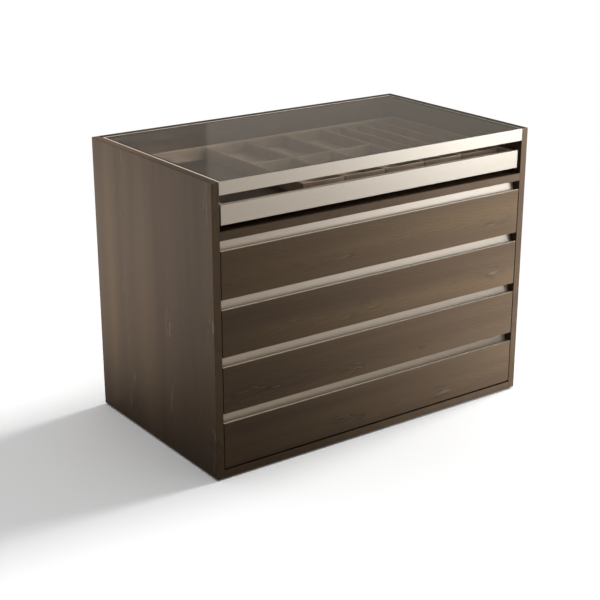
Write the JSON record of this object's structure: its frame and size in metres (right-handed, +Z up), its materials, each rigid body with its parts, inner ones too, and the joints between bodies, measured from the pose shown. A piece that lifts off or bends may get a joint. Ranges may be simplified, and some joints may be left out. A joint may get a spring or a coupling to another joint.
{
  "type": "closet island with drawers",
  "caption": "Oak-veneered closet island: wide drawers with metal grip profiles, a display tray under a framed glass top.",
  "frame": {"origin": "on the floor, at the centre of the footprint", "axes": "+Z up; the drawers open towards -Y; +X runs to the right for someone who faces the drawers"},
  "size_m": [1.1, 0.64, 0.832],
  "materials": {
    "veneer": "dark thermo-treated oak veneer, satin lacquer, straight grain",
    "champagne_metal": "fine-brushed champagne anodised",
    "smoked_glass": "lightly smoked tempered glass, polished arris",
    "drawer_board": "melamine-faced board, fine linen texture",
    "brown_leather": "taupe brown stitched leather, fine grain",
    "lining": "smooth dark brown leather sheet",
    "steel": "zinc-plated pressed steel",
    "screw_steel": "zinc-plated screws",
    "beech": "bare beech tongues",
    "base_black": "matt black recessed base",
    "tape": "dark grey acrylic foam tape",
    "cast_keys": "bare cast corner keys"
  },
  "bodies": {
    "carcass": {"left_side_panel": "veneer", "right_side_panel": "veneer", "back_panel": "veneer", "bottom_panel": "veneer", "fixed_shelf": "veneer", "carcass_tongues": "beech", "plinth_strips": "base_black", "top_frame_front_rail": "champagne_metal", "top_frame_back_rail": "champagne_metal", "top_frame_left_rail": "champagne_metal", "top_frame_right_rail": "champagne_metal", "top_frame_corner_keys": "cast_keys", "top_frame_screws": "screw_steel", "glass_top": "smoked_glass", "glass_tape": "tape", "tray_cabinet_runners": "steel", "drawer_1_cabinet_runners": "steel", "drawer_2_cabinet_runners": "steel", "drawer_3_cabinet_runners": "steel", "drawer_4_cabinet_runners": "steel"},
    "tray": {"tray_front": "champagne_metal", "tray_box": "drawer_board", "tray_floor": "drawer_board", "tray_lining": "lining", "tray_organisers": "brown_leather", "tray_front_screws": "screw_steel", "tray_drawer_runners": "steel"},
    "tray_middle": {"tray_middle_runners": "steel"},
    "drawer_1": {"drawer_1_front": "veneer", "drawer_1_grip": "champagne_metal", "drawer_1_box": "drawer_board", "drawer_1_bottom": "drawer_board", "drawer_1_front_screws": "screw_steel", "drawer_1_drawer_runners": "steel"},
    "drawer_1_middle": {"drawer_1_middle_runners": "steel"},
    "drawer_2": {"drawer_2_front": "veneer", "drawer_2_grip": "champagne_metal", "drawer_2_box": "drawer_board", "drawer_2_bottom": "drawer_board", "drawer_2_front_screws": "screw_steel", "drawer_2_drawer_runners": "steel"},
    "drawer_2_middle": {"drawer_2_middle_runners": "steel"},
    "drawer_3": {"drawer_3_front": "veneer", "drawer_3_grip": "champagne_metal", "drawer_3_box": "drawer_board", "drawer_3_bottom": "drawer_board", "drawer_3_front_screws": "screw_steel", "drawer_3_drawer_runners": "steel"},
    "drawer_3_middle": {"drawer_3_middle_runners": "steel"},
    "drawer_4": {"drawer_4_front": "veneer", "drawer_4_grip": "champagne_metal", "drawer_4_box": "drawer_board", "drawer_4_bottom": "drawer_board", "drawer_4_front_screws": "screw_steel", "drawer_4_drawer_runners": "steel"},
    "drawer_4_middle": {"drawer_4_middle_runners": "steel"}
  },
  "joints": [
    {"name": "tray_slide", "type": "slide", "parent": "carcass", "child": "tray", "axis": [0, -1, 0], "range_m": [0, 0.55]},
    {"name": "tray_middle_slide", "type": "slide", "parent": "carcass", "child": "tray_middle", "axis": [0, -1, 0], "range_m": [0, 0.275]},
    {"name": "drawer_1_slide", "type": "slide", "parent": "carcass", "child": "drawer_1", "axis": [0, -1, 0], "range_m": [0, 0.55]},
    {"name": "drawer_1_middle_slide", "type": "slide", "parent": "carcass", "child": "drawer_1_middle", "axis": [0, -1, 0], "range_m": [0, 0.275]},
    {"name": "drawer_2_slide", "type": "slide", "parent": "carcass", "child": "drawer_2", "axis": [0, -1, 0], "range_m": [0, 0.55]},
    {"name": "drawer_2_middle_slide", "type": "slide", "parent": "carcass", "child": "drawer_2_middle", "axis": [0, -1, 0], "range_m": [0, 0.275]},
    {"name": "drawer_3_slide", "type": "slide", "parent": "carcass", "child": "drawer_3", "axis": [0, -1, 0], "range_m": [0, 0.55]},
    {"name": "drawer_3_middle_slide", "type": "slide", "parent": "carcass", "child": "drawer_3_middle", "axis": [0, -1, 0], "range_m": [0, 0.275]},
    {"name": "drawer_4_slide", "type": "slide", "parent": "carcass", "child": "drawer_4", "axis": [0, -1, 0], "range_m": [0, 0.55]},
    {"name": "drawer_4_middle_slide", "type": "slide", "parent": "carcass", "child": "drawer_4_middle", "axis": [0, -1, 0], "range_m": [0, 0.275]}
  ],
  "couplings": [
    {"joint": "tray_middle_slide", "follows": "tray_slide", "ratio": 0.5},
    {"joint": "drawer_1_middle_slide", "follows": "drawer_1_slide", "ratio": 0.5},
    {"joint": "drawer_2_middle_slide", "follows": "drawer_2_slide", "ratio": 0.5},
    {"joint": "drawer_3_middle_slide", "follows": "drawer_3_slide", "ratio": 0.5},
    {"joint": "drawer_4_middle_slide", "follows": "drawer_4_slide", "ratio": 0.5}
  ]
}
